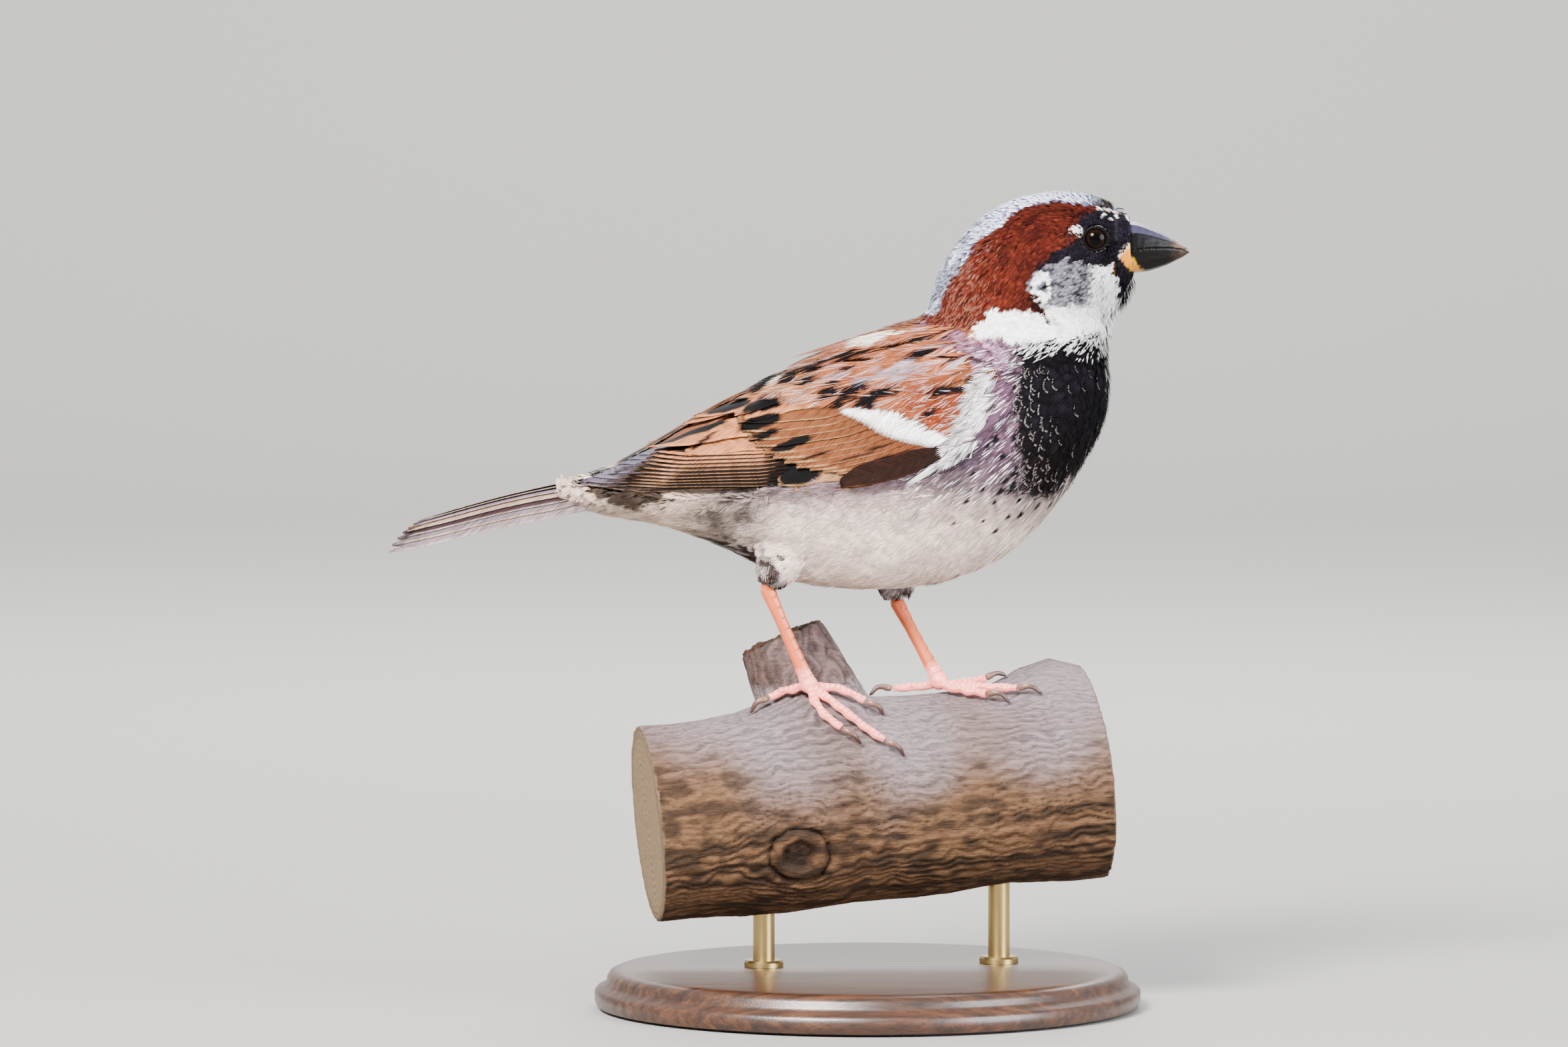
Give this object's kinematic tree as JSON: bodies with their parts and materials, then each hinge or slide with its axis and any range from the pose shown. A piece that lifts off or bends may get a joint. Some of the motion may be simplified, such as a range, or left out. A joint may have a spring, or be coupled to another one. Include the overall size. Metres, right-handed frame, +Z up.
{
  "type": "male house sparrow, perched museum-style model",
  "caption": "Life-size still model of a male house sparrow gripping a cut length of thick branch, held by two short rods on a round wooden base.",
  "frame": {"origin": "centre of the display base's underside, where it rests on a surface", "axes": "+Z up, +X the way the bird faces, +Y the bird's left"},
  "size_m": [0.1464, 0.1, 0.1495],
  "materials": {
    "plumage_back": "matte",
    "plumage_head": "matte",
    "plumage_under": "matte",
    "plumage_tail": "matte",
    "bill_horn": "satin",
    "eye": "gloss",
    "claw_horn": "satin",
    "leg_skin": "satin",
    "bark": "rough",
    "stand_wood": "satin",
    "stand_metal": "satin"
  },
  "bodies": {
    "root": {"bill_lower": "bill_horn", "bill_upper": "bill_horn", "claw_hind_left": "claw_horn", "claw_hind_right": "claw_horn", "claw_inner_left": "claw_horn", "claw_inner_right": "claw_horn", "claw_middle_left": "claw_horn", "claw_middle_right": "claw_horn", "claw_outer_left": "claw_horn", "claw_outer_right": "claw_horn", "eye_left": "eye", "eye_right": "eye", "foot_left": "leg_skin", "foot_right": "leg_skin", "head": "plumage_head", "neck": "plumage_head", "perch": "bark", "shin_left": "plumage_under", "shin_right": "plumage_under", "stand_base": "stand_wood", "stand_rod_front": "stand_metal", "stand_rod_rear": "stand_metal", "tail": "plumage_tail", "tarsus_left": "leg_skin", "tarsus_right": "leg_skin", "trunk": "plumage_under", "wing_coverts_left": "plumage_back", "wing_coverts_right": "plumage_back", "wing_primaries_left": "plumage_back", "wing_primaries_right": "plumage_back", "wing_secondaries_left": "plumage_back", "wing_secondaries_right": "plumage_back"}
  },
  "joints": []
}
